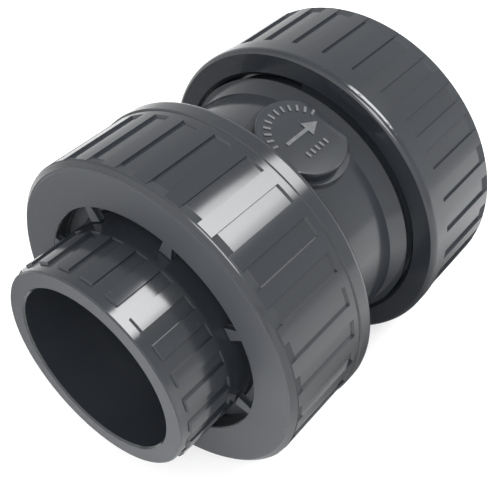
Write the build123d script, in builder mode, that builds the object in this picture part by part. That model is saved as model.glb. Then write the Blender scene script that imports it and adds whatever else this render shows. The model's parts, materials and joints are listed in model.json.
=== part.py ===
from build123d import *
import math
import os

# Double-union spring check valve for 63 mm solvent-weld pipe, in millimetres.
# X is the pipe axis and the flow runs toward +X. The origin is on the axis at
# mid-length and +Z is up. Profiles are (distance along X, radius) outlines on
# the XZ plane. Both ends are alike: INLET and OUTLET give the direction in
# which each one points, and `reach` is the distance from mid-length.

os.makedirs("parts", exist_ok=True)

INLET = -1
OUTLET = 1
ENDS = {"inlet": INLET, "outlet": OUTLET}

# Pipe sockets and overall length
PIPE_RADIUS = 31.5
SOCKET_DEPTH = 38.0
OVERALL_LENGTH = 176.0
WATERWAY_RADIUS = 27.0

# Valve body
BODY_END = 46.5
BODY_RADIUS = 48.5
FLARE_START = 12.0
COLLAR = 18.3
COLLAR_RADIUS = 51.4
COLLAR_LIP = 0.5
RING_BORE_RADIUS = 41.0
CHAMBER_RADIUS = 39.5
SHOULDER = 31.0

# Thread of body and union nut, right-handed
PITCH = 6.0
THREAD_DEPTH = 2.4
THREAD_ROOT_HALF = 1.5
THREAD_CREST_HALF = 0.9
THREAD_SINK = 0.2
BODY_THREAD_RADIUS = 49.0
NUT_THREAD_RADIUS = 51.8
THREAD_START = 23.0
BODY_TURNS = 3.55
NUT_TURNS = 3.7

# Marking pad, turned about the pipe axis from +Z toward -Y
PAD_TURN = 18.2
PAD_TOP = 51.6
PAD_RADIUS = 16.0
PAD_FLAT = 13.6
PAD_STEP_TOP = 48.0
PAD_STEP_RADIUS = 17.8
PAD_ROOT = 43.0
PAD_EDGE = 0.4

# Raised marks on the pad
MARK_HEIGHT = 0.35
MARK_SINK = 0.1
STROKE_WIDTH = 0.9
ARC_STROKE_LENGTH = 2.6
ARC_STROKE_RADIUS = 12.0
ARC_STROKE_COUNT = 12
ARC_STROKE_START = 20
ARC_STROKE_SPAN = 148
ARROW_MIDDLE = 0.7
ARROW_TAIL = -7.4
ARROW_NECK = 3.4
ARROW_TIP = 9.2
ARROW_SHAFT_HALF = 0.65
ARROW_HEAD_HALF = 3.0
ROW_STROKE_LENGTH = 2.2
ROW_STROKE_COUNT = 5
ROW_STROKE_PITCH = 2.4
ROW_MIDDLE = -6.5

# Union nut
NUT_MOUTH = 19.8
NUT_FACE = 61.9
NUT_MOUTH_RADIUS = 53.2
NUT_LIP_RADIUS = 60.15
NUT_SHOULDER = 22.2
NUT_RADIUS = 61.7
NUT_STEP = 26.8
NUT_RIB_RADIUS = 61.2
NUT_RIB_BACK = 29.5
NUT_RIB_FRONT = 60.6
NUT_RIB_COUNT = 30
NUT_GROOVE_ARC = 6.6
NUT_GROOVE_RADIUS = 60.35
NUT_GROOVE_RAMP = 57.2
NUT_GROOVE_FRONT = 60.2
NUT_EDGE_RADIUS = 59.6
NUT_HOLE_RADIUS = 44.9
NUT_WALL = 7.1
NUT_CORNER = 0.35
NUT_GROOVE_AT = {"inlet": 7.0, "outlet": 5.2}

# Centring tabs in the hole of the nut
TAB_COUNT = 8
TAB_AT = 16.0
TAB_INNER_RADIUS = 39.75
TAB_INNER_WIDTH = 4.8
TAB_OUTER_WIDTH = 3.5
TAB_THICKNESS = 2.2
TAB_INSET = 0.15

# End connector
CONNECTOR_GAP = 0.2
FLANGE_RADIUS = 48.8
FLANGE_OUT = 54.5
TUBE_RADIUS = 39.25
GROOVE_RADIUS = 38.25
GRIP_BACK = 66.2
GRIP_FRONT = 84.1
GRIP_COUNT = 24
GRIP_ARC = 7.4
GRIP_AT = 8.7
SOCKET_CHAMFER = 0.65

# Seals
FACE_SEAL_RADIUS = 45.0
FACE_SEAL_SECTION = 1.75
FACE_GROOVE_HALF = 2.0
FACE_GROOVE_DEPTH = 3.45
RING_SEAL_SECTION = 1.2
RING_SEAL_AT = 38.0

# Seat ring and cage rings in the body
RING_RADIUS = 40.8
SEAT_RADIUS = 25.0
SEAT_PLANE = -30.0
SEAT_LIP_RADIUS = 28.0
RING_OUT = 46.2
NOTCH_WIDTH = 7.0
NOTCH_DEPTH = 4.0
NOTCH_OUTER = 38.0
SEAT_NOTCH_INNER = 30.0
LOCK_NOTCH_INNER = 32.0
LOCK_RING_BACK = 40.2

# Moving poppet, shown closed
STEM_RADIUS = 5.0
STUD_RADIUS = 4.0
COLLAR_STEM_RADIUS = 8.2
POPPET_BACK = -21.0
POPPET_RADIUS = 31.0
SEAL_FRONT = SEAT_PLANE + 0.1
SEAL_BACK = -25.4
SEAL_INNER = 20.0
SEAL_OUTER = 29.8
RETAINER_RADIUS = 23.4
RETAINER_FRONT = -33.6
WASHER_THICKNESS = 1.6
WASHER_RADIUS = 9.0
NUT_ACROSS_FLATS = 13.0
NUT_HEIGHT = 6.5
STEM_TIP = 30.0
STOP_FACE = -9.2
SPRING_RADIUS = 10.0
SPRING_WIRE = 0.8
SPRING_TURNS = 5.5

# Guide cage
HUB_FRONT = 6.0
HUB_BACK = 26.0
HUB_RADIUS = 13.0
BUSH_RADIUS = 7.5
BUSH_BORE = 5.3
VANE_HALF = 2.0
CAGE_RING_INNER = 35.0


def mirrored(side, outline):
    """The outline of an inlet or outlet piece, given for the outlet."""
    return [(side * reach, radius) for reach, radius in outline]


def radial_plane(turn):
    """Plane through the pipe axis, its second direction turned from +Z toward -Y."""
    angle = math.radians(turn)
    return Plane(origin=(0, 0, 0), x_dir=(1, 0, 0), z_dir=(0, -math.cos(angle), -math.sin(angle)))


def turned_solid(outline):
    """Solid of revolution about the pipe axis."""
    with BuildPart() as turned:
        with BuildSketch(Plane.XZ):
            with BuildLine():
                Polyline(*outline, close=True)
            make_face()
        revolve(axis=Axis.X)
    return turned.part


def ring_sectors(inner, outer, centre, arc, count):
    """Evenly spaced ring sectors, centred on an angle from +Z toward -Y."""
    first = 90 + centre - arc / 2
    with BuildSketch() as sector:
        with BuildLine():
            low = CenterArc((0, 0), inner, first, arc)
            high = CenterArc((0, 0), outer, first, arc)
            Line(low @ 0, high @ 0)
            Line(low @ 1, high @ 1)
        make_face()
    with BuildSketch() as sectors:
        with PolarLocations(0, count):
            add(sector.sketch)
    return sectors.sketch


def thread_ridge(side, start, turns, radius, depth):
    """Helical trapezoid ridge; a negative depth makes it an internal thread."""
    sink = math.copysign(THREAD_SINK, depth)
    with BuildPart() as ridge:
        with BuildLine():
            helix = Helix(
                pitch=PITCH,
                height=turns * PITCH,
                radius=radius - sink,
                center=(side * start, 0, 0),
                direction=(side, 0, 0),
            )
        with BuildSketch(Plane(origin=helix @ 0, x_dir=(1, 0, 0), z_dir=helix % 0)) as section:
            outward = 1 if section.workplanes[0].y_dir.dot(helix @ 0 - Vector(side * start, 0, 0)) > 0 else -1
            top = outward * (depth + sink)
            with BuildLine():
                Polyline(
                    (-THREAD_ROOT_HALF, 0),
                    (-THREAD_CREST_HALF, top),
                    (THREAD_CREST_HALF, top),
                    (THREAD_ROOT_HALF, 0),
                    close=True,
                )
            make_face()
        sweep(path=helix, is_frenet=True)
    return ridge.part


def wrench_notches(side, plane_at, inner, outer):
    """Four straight wrench notches across the outward face of a ring."""
    with BuildPart() as notches:
        with BuildSketch(Plane.YZ.offset(side * plane_at)):
            with PolarLocations((inner + outer) / 2, 4, start_angle=45):
                Rectangle(outer - inner, NOTCH_WIDTH)
        extrude(amount=-side * NOTCH_DEPTH)
    return notches.part


# --- Valve body --------------------------------------------------------------

half_outside = [
    (BODY_END, RING_BORE_RADIUS + 0.4),
    (BODY_END, BODY_THREAD_RADIUS - 0.8),
    (BODY_END - 0.8, BODY_THREAD_RADIUS),
    (COLLAR + COLLAR_LIP, BODY_THREAD_RADIUS),
    (COLLAR + 0.15, COLLAR_RADIUS),
    (COLLAR - 0.15, COLLAR_RADIUS),
]
half_inside = [
    (0, CHAMBER_RADIUS),
    (SHOULDER, CHAMBER_RADIUS),
    (SHOULDER, RING_BORE_RADIUS),
    (BODY_END - 0.4, RING_BORE_RADIUS),
    (BODY_END, RING_BORE_RADIUS + 0.4),
]
pad_plane = Plane(origin=(0, 0, 0), x_dir=(1, 0, 0), z_dir=radial_plane(PAD_TURN).y_dir)

with BuildPart() as valve_body:
    for side in ENDS.values():
        outside = mirrored(side, half_outside)
        inside = mirrored(side, half_inside)
        with BuildSketch(Plane.XZ):
            with BuildLine():
                Polyline(*outside, (side * FLARE_START, BODY_RADIUS), (0, BODY_RADIUS))
                Line((0, BODY_RADIUS), (0, CHAMBER_RADIUS))
                Polyline(*inside)
            make_face()
        revolve(axis=Axis.X)
    with BuildSketch(pad_plane.offset(PAD_ROOT)):
        Circle(PAD_STEP_RADIUS)
    extrude(amount=PAD_STEP_TOP - PAD_ROOT)
    with BuildSketch(pad_plane.offset(PAD_ROOT)):
        Circle(PAD_RADIUS)
        Rectangle(2 * PAD_FLAT, 2 * PAD_RADIUS, mode=Mode.INTERSECT)
    extrude(amount=PAD_TOP - PAD_ROOT)
    pad_rim = valve_body.faces().sort_by(lambda face: -face.center().dot(pad_plane.z_dir))[0]
    fillet(pad_rim.edges(), radius=PAD_EDGE)
    for side in ENDS.values():
        with BuildSketch(Plane.YZ.offset(side * BODY_END)):
            Circle(FACE_SEAL_RADIUS + FACE_GROOVE_HALF)
            Circle(FACE_SEAL_RADIUS - FACE_GROOVE_HALF, mode=Mode.SUBTRACT)
        extrude(amount=-side * FACE_GROOVE_DEPTH, mode=Mode.SUBTRACT)
        add(thread_ridge(side, THREAD_START, BODY_TURNS, BODY_THREAD_RADIUS, THREAD_DEPTH))
    # Raised marks: an arc of strokes, a flow arrow and a short row of strokes
    with BuildSketch(pad_plane.offset(PAD_TOP - MARK_SINK)):
        with PolarLocations(
            ARC_STROKE_RADIUS,
            ARC_STROKE_COUNT,
            start_angle=ARC_STROKE_START,
            angular_range=ARC_STROKE_SPAN,
            endpoint=True,
        ):
            Rectangle(ARC_STROKE_LENGTH, STROKE_WIDTH)
        with Locations(((ARROW_TAIL + ARROW_NECK) / 2, ARROW_MIDDLE)):
            Rectangle(ARROW_NECK - ARROW_TAIL, 2 * ARROW_SHAFT_HALF)
        with BuildLine():
            Polyline(
                (ARROW_NECK, ARROW_MIDDLE + ARROW_HEAD_HALF),
                (ARROW_TIP, ARROW_MIDDLE),
                (ARROW_NECK, ARROW_MIDDLE - ARROW_HEAD_HALF),
                close=True,
            )
        make_face()
        with Locations((0, ROW_MIDDLE)):
            with GridLocations(ROW_STROKE_PITCH, 1, ROW_STROKE_COUNT, 1):
                Rectangle(STROKE_WIDTH, ROW_STROKE_LENGTH)
    extrude(amount=MARK_HEIGHT + MARK_SINK)
valve_body.part.label = "valve_body"
export_step(valve_body.part, "parts/valve_body.step")

# --- Union nuts, end connectors and their face seals ---------------------------

nut_outline = [
    (NUT_SHOULDER, NUT_RADIUS),
    (NUT_STEP - 0.3, NUT_RADIUS),
    (NUT_STEP, NUT_RIB_RADIUS),
    (NUT_RIB_FRONT - 0.7, NUT_RIB_RADIUS),
    (NUT_RIB_FRONT, NUT_RIB_RADIUS - 0.5),
    (NUT_FACE - 0.45, NUT_EDGE_RADIUS),
    (NUT_FACE - 0.1, NUT_EDGE_RADIUS - 0.35),
    (NUT_FACE - 0.1, NUT_EDGE_RADIUS - 1.1),
    (NUT_FACE, NUT_EDGE_RADIUS - 1.3),
    (NUT_FACE, NUT_HOLE_RADIUS + NUT_CORNER),
    (NUT_FACE - NUT_CORNER, NUT_HOLE_RADIUS),
    (NUT_FACE - NUT_WALL, NUT_HOLE_RADIUS),
    (NUT_FACE - NUT_WALL, NUT_THREAD_RADIUS),
    (NUT_MOUTH + 1.4, NUT_THREAD_RADIUS),
    (NUT_MOUTH, NUT_MOUTH_RADIUS),
    (NUT_MOUTH, NUT_LIP_RADIUS),
]
groove_outline = [
    (NUT_RIB_BACK, NUT_RIB_RADIUS),
    (NUT_RIB_BACK, NUT_RADIUS + 1),
    (NUT_GROOVE_FRONT, NUT_RADIUS + 1),
    (NUT_GROOVE_FRONT, NUT_RIB_RADIUS - 0.1),
    (NUT_GROOVE_RAMP, NUT_GROOVE_RADIUS),
    (NUT_RIB_BACK + 0.6, NUT_GROOVE_RADIUS),
]
connector_outline = [
    (BODY_END + CONNECTOR_GAP, WATERWAY_RADIUS),
    (BODY_END + CONNECTOR_GAP, FLANGE_RADIUS - 0.5),
    (BODY_END + CONNECTOR_GAP + 0.5, FLANGE_RADIUS),
    (FLANGE_OUT - 0.5, FLANGE_RADIUS),
    (FLANGE_OUT, FLANGE_RADIUS - 0.5),
    (FLANGE_OUT, TUBE_RADIUS + 0.8),
    (FLANGE_OUT + 0.8, TUBE_RADIUS),
    (GRIP_FRONT, TUBE_RADIUS),
    (GRIP_FRONT + 0.25, GROOVE_RADIUS),
    (OVERALL_LENGTH / 2 - 0.5, GROOVE_RADIUS),
    (OVERALL_LENGTH / 2, GROOVE_RADIUS - 0.5),
    (OVERALL_LENGTH / 2, PIPE_RADIUS + SOCKET_CHAMFER),
    (OVERALL_LENGTH / 2 - SOCKET_CHAMFER, PIPE_RADIUS),
    (OVERALL_LENGTH / 2 - SOCKET_DEPTH, PIPE_RADIUS),
    (OVERALL_LENGTH / 2 - SOCKET_DEPTH, WATERWAY_RADIUS),
]

with BuildSketch() as tab_outline:
    with BuildLine():
        Polyline(
            (TAB_INNER_RADIUS, TAB_INNER_WIDTH / 2),
            (NUT_HOLE_RADIUS + 0.5, TAB_OUTER_WIDTH / 2),
            (NUT_HOLE_RADIUS + 0.5, -TAB_OUTER_WIDTH / 2),
            (TAB_INNER_RADIUS, -TAB_INNER_WIDTH / 2),
            close=True,
        )
    make_face()


def grip_grooves(side, centre):
    """The grooves between the ribs of a union nut; each one ramps out before the face."""
    ring = turned_solid(mirrored(side, groove_outline))
    with BuildPart() as grooves:
        with BuildSketch(Plane.YZ.offset(side * (NUT_RIB_BACK - 1))):
            add(
                ring_sectors(
                    NUT_EDGE_RADIUS - 2,
                    NUT_RADIUS + 2,
                    centre,
                    NUT_GROOVE_ARC,
                    NUT_RIB_COUNT,
                )
            )
        extrude(amount=side * (NUT_FACE - NUT_RIB_BACK + 3))
        add(ring, mode=Mode.INTERSECT)
    return grooves.part


for end, side in ENDS.items():
    grooves = grip_grooves(side, NUT_GROOVE_AT[end])
    with BuildPart() as union_nut:
        with BuildSketch(Plane.XZ):
            with BuildLine():
                Polyline(*mirrored(side, nut_outline))
                TangentArc(
                    (side * NUT_SHOULDER, NUT_RADIUS),
                    (side * NUT_MOUTH, NUT_LIP_RADIUS),
                    tangent=(-side, 0),
                )
            make_face()
        revolve(axis=Axis.X)
        add(grooves, mode=Mode.SUBTRACT)
        with BuildSketch(Plane.YZ.offset(side * (NUT_FACE - TAB_INSET))):
            with PolarLocations(0, TAB_COUNT, start_angle=90 + TAB_AT):
                add(tab_outline.sketch)
        extrude(amount=-side * TAB_THICKNESS)
        add(thread_ridge(side, THREAD_START + PITCH / 2, NUT_TURNS, NUT_THREAD_RADIUS, -THREAD_DEPTH))
    union_nut.part.label = f"{end}_union_nut"
    export_step(union_nut.part, f"parts/{end}_union_nut.step")

    with BuildPart() as end_connector:
        with BuildSketch(Plane.XZ):
            with BuildLine():
                Polyline(*mirrored(side, connector_outline), close=True)
            make_face()
        revolve(axis=Axis.X)
        with BuildSketch(Plane.YZ.offset(side * GRIP_BACK)):
            add(ring_sectors(GROOVE_RADIUS, TUBE_RADIUS + 1, GRIP_AT, GRIP_ARC, GRIP_COUNT))
        extrude(amount=side * (GRIP_FRONT + 1 - GRIP_BACK), mode=Mode.SUBTRACT)
    end_connector.part.label = f"{end}_end_connector"
    export_step(end_connector.part, f"parts/{end}_end_connector.step")

    seal_reach = BODY_END + 0.1 - FACE_SEAL_SECTION
    with BuildPart() as face_seal:
        with BuildSketch(Plane.XZ):
            with Locations((side * seal_reach, FACE_SEAL_RADIUS)):
                Circle(FACE_SEAL_SECTION)
        revolve(axis=Axis.X)
    face_seal.part.label = f"{end}_face_o_ring"
    export_step(face_seal.part, f"parts/{end}_face_o_ring.step")

# --- Seat ring at the inlet ----------------------------------------------------

with BuildPart() as seat_ring:
    with BuildSketch(Plane.XZ):
        with BuildLine():
            Polyline(
                (-RING_OUT, 31.5),
                (-RING_OUT, RING_RADIUS),
                (-RING_SEAL_AT - 1.4, RING_RADIUS),
                (-RING_SEAL_AT - 1.4, RING_RADIUS - 2.4),
                (-RING_SEAL_AT + 1.4, RING_RADIUS - 2.4),
                (-RING_SEAL_AT + 1.4, RING_RADIUS),
                (-SHOULDER - 0.1, RING_RADIUS),
                (-SHOULDER - 0.1, SEAT_LIP_RADIUS + 0.5),
                (SEAT_PLANE - 0.4, SEAT_LIP_RADIUS),
                (SEAT_PLANE, SEAT_LIP_RADIUS - 0.4),
                (SEAT_PLANE, SEAT_RADIUS + 0.3),
                (SEAT_PLANE - 0.3, SEAT_RADIUS),
                (-39.0, SEAT_RADIUS),
                close=True,
            )
        make_face()
    revolve(axis=Axis.X)
    add(wrench_notches(INLET, RING_OUT, SEAT_NOTCH_INNER, NOTCH_OUTER), mode=Mode.SUBTRACT)
seat_ring.part.label = "seat_ring"
export_step(seat_ring.part, "parts/seat_ring.step")

with BuildPart() as seat_ring_o_ring:
    with BuildSketch(Plane.XZ):
        with Locations((-RING_SEAL_AT, RING_RADIUS - RING_SEAL_SECTION + 0.1)):
            Circle(RING_SEAL_SECTION)
    revolve(axis=Axis.X)
seat_ring_o_ring.part.label = "seat_ring_o_ring"
export_step(seat_ring_o_ring.part, "parts/seat_ring_o_ring.step")

# --- Guide cage, bush and lock ring at the outlet --------------------------------

with BuildPart() as guide_cage:
    with BuildSketch(Plane.XZ):
        with Locations(((SHOULDER + LOCK_RING_BACK) / 2, (CAGE_RING_INNER + RING_RADIUS) / 2)):
            Rectangle(LOCK_RING_BACK - SHOULDER - 0.2, RING_RADIUS - CAGE_RING_INNER)
    revolve(axis=Axis.X)
    with BuildSketch(Plane.XZ):
        with BuildLine():
            Polyline(
                (HUB_FRONT, BUSH_RADIUS),
                (HUB_FRONT, HUB_RADIUS - 1),
                (HUB_FRONT + 1, HUB_RADIUS),
                (HUB_BACK - 4, HUB_RADIUS),
                (HUB_BACK, HUB_RADIUS - 3),
                (HUB_BACK, BUSH_RADIUS),
                close=True,
            )
        make_face()
    revolve(axis=Axis.X)
    for turn in range(0, 360, 90):
        with BuildSketch(radial_plane(turn + PAD_TURN)):
            with BuildLine():
                Polyline(
                    (HUB_FRONT + 4, HUB_RADIUS - 1),
                    (SHOULDER + 0.2, CAGE_RING_INNER + 1),
                    (LOCK_RING_BACK - 0.2, CAGE_RING_INNER + 1),
                    (HUB_BACK - 2, HUB_RADIUS - 3),
                    close=True,
                )
            make_face()
        extrude(amount=VANE_HALF, both=True)
guide_cage.part.label = "guide_cage"
export_step(guide_cage.part, "parts/guide_cage.step")

with BuildPart() as guide_bush:
    with BuildSketch(Plane.YZ.offset(HUB_FRONT)):
        Circle(BUSH_RADIUS - 0.05)
        Circle(BUSH_BORE, mode=Mode.SUBTRACT)
    extrude(amount=HUB_BACK - HUB_FRONT)
guide_bush.part.label = "guide_bush"
export_step(guide_bush.part, "parts/guide_bush.step")

with BuildPart() as cage_lock_ring:
    with BuildSketch(Plane.YZ.offset(LOCK_RING_BACK)):
        Circle(RING_RADIUS)
        Circle(CAGE_RING_INNER - 2, mode=Mode.SUBTRACT)
    extrude(amount=RING_OUT - LOCK_RING_BACK)
    add(wrench_notches(OUTLET, RING_OUT, LOCK_NOTCH_INNER, NOTCH_OUTER), mode=Mode.SUBTRACT)
cage_lock_ring.part.label = "cage_lock_ring"
export_step(cage_lock_ring.part, "parts/cage_lock_ring.step")

with BuildPart() as spring_washer:
    with BuildSketch(Plane.YZ.offset(HUB_FRONT - 1)):
        Circle(HUB_RADIUS - 1.2)
        Circle(BUSH_BORE + 0.1, mode=Mode.SUBTRACT)
    extrude(amount=1)
spring_washer.part.label = "spring_washer"
export_step(spring_washer.part, "parts/spring_washer.step")

# --- Poppet: disc, seal, retainer, stem and fasteners ----------------------------

with BuildPart() as poppet_disc:
    with BuildSketch(Plane.XZ):
        with BuildLine():
            Polyline(
                (SEAL_FRONT, STUD_RADIUS + 0.05),
                (SEAL_FRONT, SEAL_INNER - 0.1),
                (SEAL_BACK, SEAL_INNER - 0.1),
                (SEAL_BACK, SEAL_OUTER + 0.1),
                (SEAL_BACK - 2.2, SEAL_OUTER + 0.1),
                (SEAL_BACK - 2.2, POPPET_RADIUS - 0.4),
                (SEAL_BACK - 1.8, POPPET_RADIUS),
                (POPPET_BACK - 1.5, POPPET_RADIUS),
                (POPPET_BACK, POPPET_RADIUS - 6),
                (POPPET_BACK, STUD_RADIUS + 0.05),
                close=True,
            )
        make_face()
    revolve(axis=Axis.X)
poppet_disc.part.label = "poppet_disc"
export_step(poppet_disc.part, "parts/poppet_disc.step")

with BuildPart() as disc_seal:
    with BuildSketch(Plane.YZ.offset(SEAL_FRONT)):
        Circle(SEAL_OUTER)
        Circle(SEAL_INNER, mode=Mode.SUBTRACT)
    extrude(amount=SEAL_BACK - SEAL_FRONT)
disc_seal.part.label = "disc_seal"
export_step(disc_seal.part, "parts/disc_seal.step")

with BuildPart() as seal_retainer:
    with BuildSketch(Plane.XZ):
        with BuildLine():
            Polyline(
                (SEAL_FRONT, STUD_RADIUS + 0.05),
                (SEAL_FRONT, RETAINER_RADIUS),
                (SEAL_FRONT - 1.5, RETAINER_RADIUS),
                (RETAINER_FRONT, RETAINER_RADIUS - 5),
                (RETAINER_FRONT, STUD_RADIUS + 0.05),
                close=True,
            )
        make_face()
    revolve(axis=Axis.X)
seal_retainer.part.label = "seal_retainer"
export_step(seal_retainer.part, "parts/seal_retainer.step")

with BuildPart() as poppet_stem:
    with BuildSketch(Plane.XZ):
        with BuildLine():
            Polyline(
                (RETAINER_FRONT - WASHER_THICKNESS - NUT_HEIGHT - 1.5, 0),
                (RETAINER_FRONT - WASHER_THICKNESS - NUT_HEIGHT - 1.5, STUD_RADIUS - 0.6),
                (RETAINER_FRONT - WASHER_THICKNESS - NUT_HEIGHT - 0.9, STUD_RADIUS),
                (POPPET_BACK, STUD_RADIUS),
                (POPPET_BACK, COLLAR_STEM_RADIUS),
                (STOP_FACE, COLLAR_STEM_RADIUS),
                (STOP_FACE, STEM_RADIUS),
                (STEM_TIP - 1, STEM_RADIUS),
                (STEM_TIP, STEM_RADIUS - 1),
                (STEM_TIP, 0),
                close=True,
            )
        make_face()
    revolve(axis=Axis.X)
poppet_stem.part.label = "poppet_stem"
export_step(poppet_stem.part, "parts/poppet_stem.step")

with BuildPart() as retainer_washer:
    with BuildSketch(Plane.YZ.offset(RETAINER_FRONT)):
        Circle(WASHER_RADIUS)
        Circle(STUD_RADIUS + 0.2, mode=Mode.SUBTRACT)
    extrude(amount=-WASHER_THICKNESS)
retainer_washer.part.label = "retainer_washer"
export_step(retainer_washer.part, "parts/retainer_washer.step")

with BuildPart() as retainer_nut:
    with BuildSketch(Plane.YZ.offset(RETAINER_FRONT - WASHER_THICKNESS)):
        RegularPolygon(NUT_ACROSS_FLATS / 2, 6, major_radius=False)
        Circle(STUD_RADIUS + 0.05, mode=Mode.SUBTRACT)
    extrude(amount=-NUT_HEIGHT)
    nut_front = retainer_nut.faces().sort_by(Axis.X)[0]
    chamfer(nut_front.outer_wire().edges(), length=0.6)
retainer_nut.part.label = "retainer_nut"
export_step(retainer_nut.part, "parts/retainer_nut.step")

# --- Closing spring ----------------------------------------------------------------

spring_length = HUB_FRONT - 1 - POPPET_BACK - 2 * SPRING_WIRE
with BuildPart() as spring:
    with BuildLine():
        coil = Helix(
            pitch=spring_length / SPRING_TURNS,
            height=spring_length,
            radius=SPRING_RADIUS,
            center=(POPPET_BACK + SPRING_WIRE, 0, 0),
            direction=(1, 0, 0),
        )
    with BuildSketch(Plane(origin=coil @ 0, z_dir=coil % 0)):
        Circle(SPRING_WIRE)
    sweep(path=coil, is_frenet=True)
spring.part.label = "spring"
export_step(spring.part, "parts/spring.step")
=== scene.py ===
"""Looks of a 63 mm double-union check valve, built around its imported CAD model."""
import json
import math

import bpy
from mathutils import Matrix, Vector

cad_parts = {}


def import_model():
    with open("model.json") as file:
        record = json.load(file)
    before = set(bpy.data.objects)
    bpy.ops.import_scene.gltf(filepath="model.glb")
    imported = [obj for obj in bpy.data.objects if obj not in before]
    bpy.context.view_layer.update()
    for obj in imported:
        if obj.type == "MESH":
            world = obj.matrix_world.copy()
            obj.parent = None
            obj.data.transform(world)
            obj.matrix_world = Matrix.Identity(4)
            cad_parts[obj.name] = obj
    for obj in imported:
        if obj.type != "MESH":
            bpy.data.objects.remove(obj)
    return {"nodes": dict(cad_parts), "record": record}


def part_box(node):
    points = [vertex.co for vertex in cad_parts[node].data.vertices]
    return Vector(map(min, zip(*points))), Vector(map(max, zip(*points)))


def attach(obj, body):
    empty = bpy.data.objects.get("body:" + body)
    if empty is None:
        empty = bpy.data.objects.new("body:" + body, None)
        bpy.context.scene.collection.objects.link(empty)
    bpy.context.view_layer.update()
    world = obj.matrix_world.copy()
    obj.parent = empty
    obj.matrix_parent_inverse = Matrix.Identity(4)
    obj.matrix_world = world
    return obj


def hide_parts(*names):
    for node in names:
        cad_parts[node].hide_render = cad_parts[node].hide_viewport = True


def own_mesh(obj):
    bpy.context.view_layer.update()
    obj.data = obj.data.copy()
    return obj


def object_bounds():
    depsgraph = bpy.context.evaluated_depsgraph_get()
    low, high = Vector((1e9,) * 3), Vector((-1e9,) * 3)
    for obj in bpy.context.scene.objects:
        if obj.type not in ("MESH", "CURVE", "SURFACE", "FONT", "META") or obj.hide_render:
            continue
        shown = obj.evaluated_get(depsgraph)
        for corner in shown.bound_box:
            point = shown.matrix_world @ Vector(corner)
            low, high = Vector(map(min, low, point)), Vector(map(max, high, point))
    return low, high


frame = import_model()
cad_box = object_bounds()

MM = 0.001

# Places on the CAD model, in the pieces' own coordinates; "along" is along the pipe axis
PAD_TURN = math.radians(18.2)  # of the round pad on the body, from +Z towards -Y
PAD_TOP = 51.6 * MM  # height of the pad's face above the axis
PAD_RADIUS = 16.0 * MM
MARK_FOOT = PAD_TOP + 0.20 * MM  # the tops of the raised strokes are painted lighter between these heights, as a painted highlight
MARK_TOP = PAD_TOP + 0.30 * MM
NUT_RIB_RADIUS = 61.2 * MM
RUN_OUT_START = 57.2 * MM  # where the grip grooves run out, along from mid-length
RUN_OUT_END = 60.2 * MM
OUTER_FROM = 45 * MM  # end faces are satin beyond this, along from mid-length, and painted a lighter grey as painted light
OUTER_FULL = 50 * MM

# Edge radii, which catch the light
GRIP_EDGE = 0.5 * MM  # nuts and end connectors
FINE_EDGE = 0.25 * MM  # other moulded parts
EDGE_ANGLE = math.radians(30)

# Spring
SPRING_WIRE = 0.8 * MM  # radius
SPRING_TURNS = 5.5
SPRING_GAP = 0.1 * MM  # at each end
STEPS_PER_TURN = 40
WIRE_SIDES = 12


# ---- Small helpers for node materials ------------------------------------------

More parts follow.
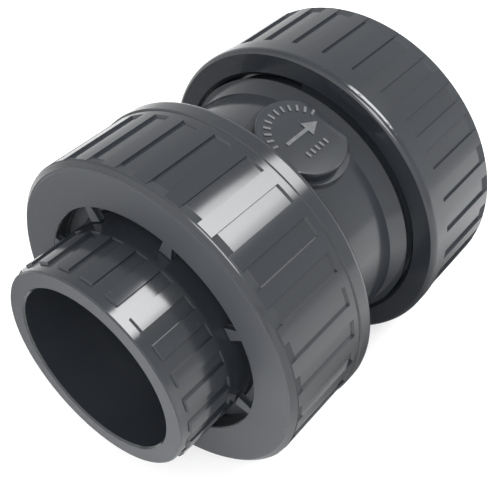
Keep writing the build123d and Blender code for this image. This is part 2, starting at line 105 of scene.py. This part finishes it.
class Nodes:
    """A node tree with short calls for the nodes that the materials share."""

    def __init__(self, tree):
        self.tree = tree
        self.tree.nodes.clear()

    def add(self, kind, **values):
        node = self.tree.nodes.new(kind)
        for name, value in values.items():
            setattr(node, name, value)
        return node

    def join(self, source, target):
        self.tree.links.new(source, target)

    def position(self):
        return self.add("ShaderNodeTexCoord").outputs["Object"]

    def axes(self, vector):
        """The X, Y and Z of a vector."""
        split = self.add("ShaderNodeSeparateXYZ")
        self.join(vector, split.inputs["Vector"])
        return split.outputs["X"], split.outputs["Y"], split.outputs["Z"]

    def noise(self, scale, detail=2.0, stretch=(1, 1, 1)):
        mapping = self.add("ShaderNodeMapping")
        mapping.inputs["Scale"].default_value = stretch
        self.join(self.position(), mapping.inputs["Vector"])
        noise = self.add("ShaderNodeTexNoise")
        noise.inputs["Scale"].default_value = scale
        noise.inputs["Detail"].default_value = detail
        self.join(mapping.outputs["Vector"], noise.inputs["Vector"])
        return noise.outputs["Fac"]

    def remap(self, value, low, high, to_low, to_high):
        """Takes low..high to to_low..to_high, and holds the ends."""
        node = self.add("ShaderNodeMapRange")
        names = ("From Min", "From Max", "To Min", "To Max")
        for name, number in zip(names, (low, high, to_low, to_high)):
            node.inputs[name].default_value = number
        self.join(value, node.inputs["Value"])
        return node.outputs["Result"]

    def mix(self, factor, first, second):
        node = self.add("ShaderNodeMix", data_type="RGBA")
        self.join(factor, node.inputs["Factor"])
        for socket, colour in ((node.inputs["A"], first), (node.inputs["B"], second)):
            if isinstance(colour, tuple):
                socket.default_value = (*colour, 1)
            else:
                self.join(colour, socket)
        return node.outputs["Result"]

    def maths(self, operation, *values):
        node = self.add("ShaderNodeMath", operation=operation)
        for value, socket in zip(values, node.inputs):
            self.join(value, socket)
        return node.outputs["Value"]

    def plus(self, first, second):
        return self.maths("ADD", first, second)

    def times(self, first, *others):
        for other in others:
            first = self.maths("MULTIPLY", first, other)
        return first

    def bump(self, height, strength, distance):
        node = self.add("ShaderNodeBump")
        node.inputs["Strength"].default_value = strength
        node.inputs["Distance"].default_value = distance
        self.join(height, node.inputs["Height"])
        return node.outputs["Normal"]

    def raised_marks(self):
        """1 on the strokes that stand above the round pad's face, and 0 elsewhere."""
        height = self.add("ShaderNodeVectorMath", operation="DOT_PRODUCT")
        self.join(self.position(), height.inputs[0])
        height.inputs[1].default_value = (0, -math.sin(PAD_TURN), math.cos(PAD_TURN))
        above = self.remap(height.outputs["Value"], MARK_FOOT, MARK_TOP, 0, 1)
        along = self.maths("ABSOLUTE", self.axes(self.position())[0])
        return self.times(above, self.remap(along, PAD_RADIUS, PAD_RADIUS + MM, 1, 0))

    def groove_run_outs(self, extra):
        """Extra roughness where the nut's grip grooves run out before its face, else 0."""
        x, y, z = self.axes(self.position())
        along = self.maths("ABSOLUTE", x)
        reach = self.maths("SQRT", self.plus(self.times(y, y), self.times(z, z)))
        below_ribs = self.remap(reach, NUT_RIB_RADIUS - 0.06 * MM, NUT_RIB_RADIUS - 0.01 * MM, 1, 0)
        behind_face = self.remap(along, RUN_OUT_END, RUN_OUT_END + 0.1 * MM, 1, 0)
        on_slope = self.remap(along, RUN_OUT_START - 0.2 * MM, RUN_OUT_START, 0, extra)
        return self.times(below_ribs, behind_face, on_slope)

    def outer_end_faces(self):
        """1 on faces square to the pipe axis towards the two ends, and 0 elsewhere."""
        normal = self.add("ShaderNodeTexCoord").outputs["Normal"]
        square = self.remap(self.maths("ABSOLUTE", self.axes(normal)[0]), 0.80, 0.97, 0, 1)
        along = self.maths("ABSOLUTE", self.axes(self.position())[0])
        return self.times(square, self.remap(along, OUTER_FROM, OUTER_FULL, 0, 1))


def new_material(name):
    material = bpy.data.materials.new(name)
    material.use_nodes = True
    nodes = Nodes(material.node_tree)
    output = nodes.add("ShaderNodeOutputMaterial")
    shader = nodes.add("ShaderNodeBsdfPrincipled")
    nodes.join(shader.outputs["BSDF"], output.inputs["Surface"])
    return material, nodes, shader


# ---- Materials -------------------------------------------------------------------

def grey_pvc(name, marked=False, grooved=False):
    """Injection-moulded dark grey PVC-U: glossy round the axis, satin on the outer end faces, which
    are also painted a lighter grey as painted light.

    On the marked body, the tops of the raised strokes on the pad are painted a lighter grey, a
    painted highlight. On a grooved nut, the run-outs of the grip grooves keep the matt finish of
    the mould.
    """
    base = (0.0180, 0.0205, 0.0245)
    painted_light_end_grey = (0.046, 0.050, 0.057)
    dust_grey = (0.14, 0.145, 0.15)
    glossy, satin, matt = 0.13, 0.50, 0.75
    material, nodes, shader = new_material(name)
    light = tuple(channel * 1.15 for channel in base)
    dark = tuple(channel * 0.88 for channel in base)
    flow = nodes.noise(scale=18, detail=3, stretch=(0.35, 1, 1))
    tone = nodes.mix(nodes.remap(flow, 0.35, 0.65, 0, 1), dark, light)
    dust = nodes.remap(nodes.noise(scale=900), 0.72, 0.80, 0, 0.15)
    tone = nodes.mix(dust, tone, dust_grey)
    end_face = nodes.outer_end_faces()
    # Painted light: the outer end faces are painted a lighter grey than the rest of the part, on
    # top of their satin roughness.
    tone = nodes.mix(end_face, tone, painted_light_end_grey)
    if marked:
        # Painted highlight: the tops of the raised strokes on the pad are painted a lighter grey.
        painted_stroke_highlight = nodes.mix(nodes.noise(scale=400), (0.05, 0.052, 0.055), (0.14, 0.143, 0.148))
        tone = nodes.mix(nodes.raised_marks(), tone, painted_stroke_highlight)
    nodes.join(tone, shader.inputs["Base Color"])
    haze = nodes.remap(nodes.noise(scale=45, detail=4, stretch=(0.3, 1, 1)), 0.3, 0.7, -0.03, 0.05)
    roughness = nodes.plus(nodes.remap(end_face, 0, 1, glossy, satin), haze)
    if grooved:
        roughness = nodes.plus(roughness, nodes.groove_run_outs(extra=matt))
    nodes.join(roughness, shader.inputs["Roughness"])
    peel = nodes.noise(scale=120)
    nodes.join(nodes.bump(peel, strength=0.04, distance=0.15 * MM), shader.inputs["Normal"])
    shader.inputs["IOR"].default_value = 1.53
    return material


def black_epdm():
    """Moulded EPDM: matt black with a soft bloom."""
    material, nodes, shader = new_material("black_epdm")
    bloom = nodes.noise(scale=120, detail=3)
    tone = nodes.mix(bloom, (0.012, 0.012, 0.013), (0.03, 0.03, 0.032))
    nodes.join(tone, shader.inputs["Base Color"])
    nodes.join(nodes.remap(bloom, 0.3, 0.7, 0.5, 0.65), shader.inputs["Roughness"])
    grain = nodes.noise(scale=1500)
    nodes.join(nodes.bump(grain, strength=0.2, distance=0.05 * MM), shader.inputs["Normal"])
    return material


def stainless():
    """Turned stainless steel with fine lathe marks round the axis."""
    material, nodes, shader = new_material("stainless")
    marks = nodes.noise(scale=2200, stretch=(1, 0.05, 0.05))
    tone = nodes.mix(marks, (0.42, 0.42, 0.43), (0.62, 0.62, 0.62))
    nodes.join(tone, shader.inputs["Base Color"])
    nodes.join(nodes.remap(marks, 0.3, 0.7, 0.18, 0.34), shader.inputs["Roughness"])
    nodes.join(nodes.bump(marks, strength=0.15, distance=0.03 * MM), shader.inputs["Normal"])
    shader.inputs["Metallic"].default_value = 1.0
    return material


def white_ptfe():
    """Machined white PTFE with a waxy surface."""
    material, nodes, shader = new_material("white_ptfe")
    cloud = nodes.noise(scale=80, detail=3)
    tone = nodes.mix(cloud, (0.74, 0.74, 0.70), (0.82, 0.82, 0.79))
    nodes.join(tone, shader.inputs["Base Color"])
    nodes.join(nodes.remap(cloud, 0.3, 0.7, 0.38, 0.5), shader.inputs["Roughness"])
    turning = nodes.noise(scale=1200, detail=1, stretch=(1, 0.1, 0.1))
    nodes.join(nodes.bump(turning, strength=0.1, distance=0.04 * MM), shader.inputs["Normal"])
    shader.inputs["Subsurface Weight"].default_value = 0.1
    return material


materials = {
    "grey_pvc": grey_pvc("grey_pvc"),
    "black_epdm": black_epdm(),
    "stainless": stainless(),
    "white_ptfe": white_ptfe(),
}
marked_pvc = grey_pvc("marked_grey_pvc", marked=True)
grooved_pvc = grey_pvc("grooved_grey_pvc", grooved=True)
own_material = {
    "valve_body": marked_pvc,
    "inlet_union_nut": grooved_pvc,
    "outlet_union_nut": grooved_pvc,
}
slot_of = {part["node"]: part["material_slot"] for part in frame["record"]["subparts"]}
for name, node in frame["nodes"].items():
    node.data.materials.clear()
    node.data.materials.append(own_material.get(name, materials[slot_of[name]]))


# ---- Moulded edges ------------------------------------------------------------------

def round_edges(node, radius):
    """Small radius on a moulded part's sharp edges, which catches the light."""
    bevel = node.modifiers.new("moulded_edge", "BEVEL")
    bevel.width = radius
    bevel.segments = 2
    bevel.limit_method = "ANGLE"
    bevel.angle_limit = EDGE_ANGLE
    bevel.harden_normals = True


for name, node in frame["nodes"].items():
    if slot_of[name] == "grey_pvc":
        gripped = name.endswith(("union_nut", "end_connector"))
        round_edges(node, GRIP_EDGE if gripped else FINE_EDGE)


# ---- Closing spring, in place of the CAD spring -------------------------------------

def helix_mesh(start, length, mean_radius):
    """Round wire wound about the pipe axis, with capped ends."""
    verts, faces = [], []
    rings = int(SPRING_TURNS * STEPS_PER_TURN)
    for i in range(rings + 1):
        along = start + length * i / rings
        angle = 2 * math.pi * i / STEPS_PER_TURN
        outward = Vector((0, math.cos(angle), math.sin(angle)))
        for k in range(WIRE_SIDES):
            around = 2 * math.pi * k / WIRE_SIDES
            reach = mean_radius + SPRING_WIRE * math.cos(around)
            offset = Vector((along + SPRING_WIRE * math.sin(around), 0, 0))
            verts.append(outward * reach + offset)
    for i in range(rings):
        for k in range(WIRE_SIDES):
            a, b = i * WIRE_SIDES + k, i * WIRE_SIDES + (k + 1) % WIRE_SIDES
            faces.append((a, b, b + WIRE_SIDES, a + WIRE_SIDES))
    last_ring = rings * WIRE_SIDES
    faces.append(tuple(range(WIRE_SIDES)))
    faces.append(tuple(range(last_ring + WIRE_SIDES - 1, last_ring - 1, -1)))
    mesh = bpy.data.meshes.new("closing_spring")
    mesh.from_pydata(verts, [], faces)
    mesh.polygons.foreach_set("use_smooth", [True] * len(mesh.polygons))
    return mesh


def closing_spring():
    """Spring round the poppet stem, in place of the CAD spring, fixed to the valve body."""
    low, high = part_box("spring")
    ends = (low.x + SPRING_GAP, high.x - SPRING_GAP)
    mesh = helix_mesh(
        start=ends[0] + SPRING_WIRE,
        length=ends[1] - ends[0] - 2 * SPRING_WIRE,
        mean_radius=high.y - SPRING_WIRE,
    )
    mesh.materials.append(materials["stainless"])
    spring = bpy.data.objects.new("closing_spring", mesh)
    bpy.context.collection.objects.link(spring)
    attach(spring, "valve_body")
    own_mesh(spring)
    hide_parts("spring")


closing_spring()


# ---- Camera ------------------------------------------------------------------------

def look(azimuth, elevation, aim, distance, lens):
    """Camera that looks at aim from that side; azimuth 0 looks along +Y."""
    az, el = math.radians(azimuth), math.radians(elevation)
    level = math.cos(el)
    back = Vector((math.sin(az) * level, -math.cos(az) * level, math.sin(el)))
    right = Vector((math.cos(az), math.sin(az), 0))
    up = back.cross(right)
    place = Vector(aim) + back * distance
    data = bpy.data.cameras.new("camera")
    data.lens = lens
    data.clip_start = 0.01
    camera = bpy.data.objects.new("camera", data)
    camera.matrix_world = Matrix(
        [[right[i], up[i], back[i], place[i]] for i in range(3)] + [[0, 0, 0, 1]]
    )
    bpy.context.collection.objects.link(camera)
    bpy.context.scene.camera = camera


look(
    azimuth=-51.38,
    elevation=43.90,
    aim=(-0.0077, -0.0004, -0.0066),
    distance=0.3258,
    lens=62.45,
)


# ---- Floor and world -----------------------------------------------------------------

def floor(size, glow):
    """Pale floor under the object, which glows a little so that it stays white."""
    bpy.ops.mesh.primitive_plane_add(size=size, location=(0, 0, cad_box[0][2]))
    plane = bpy.context.object
    plane.name = "floor"
    material, nodes, shader = new_material("pale_floor")
    tone = nodes.mix(nodes.noise(scale=3), (0.50, 0.50, 0.50), (0.54, 0.54, 0.54))
    nodes.join(tone, shader.inputs["Base Color"])
    shader.inputs["Roughness"].default_value = 0.9
    shader.inputs["Specular IOR Level"].default_value = 0.0
    shader.inputs["Emission Color"].default_value = (1, 1, 1, 1)
    shader.inputs["Emission Strength"].default_value = glow
    plane.data.materials.append(material)


def world(horizon, zenith, inlet_side):
    """Pale surroundings, darker overhead, with their own brightness off the inlet end."""
    scene = bpy.context.scene
    scene.world = bpy.data.worlds.new("studio")
    scene.world.use_nodes = True
    nodes = Nodes(scene.world.node_tree)
    output = nodes.add("ShaderNodeOutputWorld")
    background = nodes.add("ShaderNodeBackground")
    x, _, z = nodes.axes(nodes.add("ShaderNodeTexCoord").outputs["Generated"])
    height = nodes.remap(z, 0.15, 0.75, 0, 1)
    tone = nodes.mix(height, (horizon,) * 3, (zenith,) * 3)
    towards_inlet = nodes.remap(x, -0.2, -0.8, 0, 1)
    tone = nodes.mix(towards_inlet, tone, (inlet_side,) * 3)
    nodes.join(tone, background.inputs["Color"])
    nodes.join(background.outputs["Background"], output.inputs["Surface"])


def floor_card(name, centre, lift, half_length, half_width, strength):
    """Dark oval with soft edges on the floor, seen only in the object's reflections: a painted
    shadow that darkens the floor the object mirrors.
    """
    place = (*centre, cad_box[0][2] + lift)
    bpy.ops.mesh.primitive_plane_add(size=4 * half_width, location=place)
    card = bpy.context.object
    card.name = name
    card.visible_camera = False
    card.visible_diffuse = False
    card.visible_shadow = False
    material = bpy.data.materials.new(name)
    material.use_nodes = True
    nodes = Nodes(material.node_tree)
    stretch = nodes.add("ShaderNodeMapping")
    stretch.inputs["Scale"].default_value = (1 / half_length, 1 / half_width, 1)
    nodes.join(nodes.position(), stretch.inputs["Vector"])
    reach = nodes.add("ShaderNodeVectorMath", operation="LENGTH")
    nodes.join(stretch.outputs["Vector"], reach.inputs[0])
    cover = nodes.remap(reach.outputs["Value"], 0.6, 1.25, strength, 0)
    clear = nodes.add("ShaderNodeBsdfTransparent")
    dark = nodes.add("ShaderNodeBsdfDiffuse")
    dark.inputs["Color"].default_value = (0.02, 0.02, 0.02, 1)
    blend = nodes.add("ShaderNodeMixShader")
    nodes.join(cover, blend.inputs["Fac"])
    nodes.join(clear.outputs["BSDF"], blend.inputs[1])
    nodes.join(dark.outputs["BSDF"], blend.inputs[2])
    output = nodes.add("ShaderNodeOutputMaterial")
    nodes.join(blend.outputs["Shader"], output.inputs["Surface"])
    card.data.materials.append(material)


# ---- Lights --------------------------------------------------------------------------

def area_light(name, centre, turns, size, radiance):
    """Flat light of that width and depth, shining along its own -Z."""
    width, depth = size
    data = bpy.data.lights.new(name, "AREA")
    data.shape = "RECTANGLE"
    data.size = width
    data.size_y = depth
    data.energy = radiance * math.pi * width * depth
    light = bpy.data.objects.new(name, data)
    light.location = centre
    light.rotation_euler = turns
    bpy.context.collection.objects.link(light)
    return data


def overhead_panel(centre, turn, size, radiance):
    """Horizontal softbox that shines straight down.

    It is brightest at its inner end, with soft edges and its outer far corner cut off.
    """
    turns = (0, 0, math.radians(turn))
    data = area_light("overhead_panel", centre, turns, size, radiance)
    data.use_nodes = True
    nodes = Nodes(data.node_tree)
    place = nodes.add("ShaderNodeMapping", vector_type="TEXTURE")
    place.inputs["Location"].default_value = centre
    place.inputs["Rotation"].default_value = turns
    place.inputs["Scale"].default_value = (size[0] / 2, size[1] / 2, 1)
    world_place = nodes.add("ShaderNodeNewGeometry").outputs["Position"]
    nodes.join(world_place, place.inputs["Vector"])
    x, y, _ = nodes.axes(place.outputs["Vector"])  # -1 to 1 across the panel
    strength = nodes.times(
        nodes.remap(x, -0.6, 0.9, 1, 0.62),
        nodes.remap(x, 0.85, 1, 1, 0.3),
        nodes.remap(y, -1, -0.55, 0.25, 1),
        nodes.remap(y, 0.85, 1, 1, 0.5),
        nodes.remap(nodes.plus(x, y), 1.22, 1.34, 1, 0),
    )
    glow = nodes.add("ShaderNodeEmission")
    nodes.join(strength, glow.inputs["Strength"])
    output = nodes.add("ShaderNodeOutputLight")
    nodes.join(glow.outputs["Emission"], output.inputs["Surface"])


def inlet_lamp(centre, target, size, radiance):
    """Soft lamp at the inlet end, which brightens the floor that the end faces mirror."""
    aim = (Vector(target) - Vector(centre)).to_track_quat("-Z", "Y").to_euler()
    area_light("inlet_lamp", centre, aim, (size, size), radiance)


floor(size=8, glow=0.52)
# Painted shadow: a dark card under the object darkens the floor seen in its reflections, near where
# it rests.
floor_card(
    "painted_contact_shadow_card",
    centre=(0.035, 0),
    lift=0.1 * MM,
    half_length=0.11,
    half_width=0.13,
    strength=0.9,
)
# Painted shadow: a dark card at the back left of the inlet end darkens the floor seen in
# reflections there.
floor_card(
    "painted_back_shadow_card",
    centre=(-0.11, 0.15),
    lift=0.2 * MM,
    half_length=0.09,
    half_width=0.09,
    strength=0.75,
)
world(horizon=0.95, zenith=0.60, inlet_side=1.5)
overhead_panel(centre=(0.535, -0.386, 1.0), turn=10, size=(0.84, 0.70), radiance=15)
inlet_lamp(centre=(-0.50, -0.30, 0.60), target=(-0.15, -0.03, -0.05), size=0.4, radiance=8)
bpy.context.scene.view_settings.view_transform = "Standard"
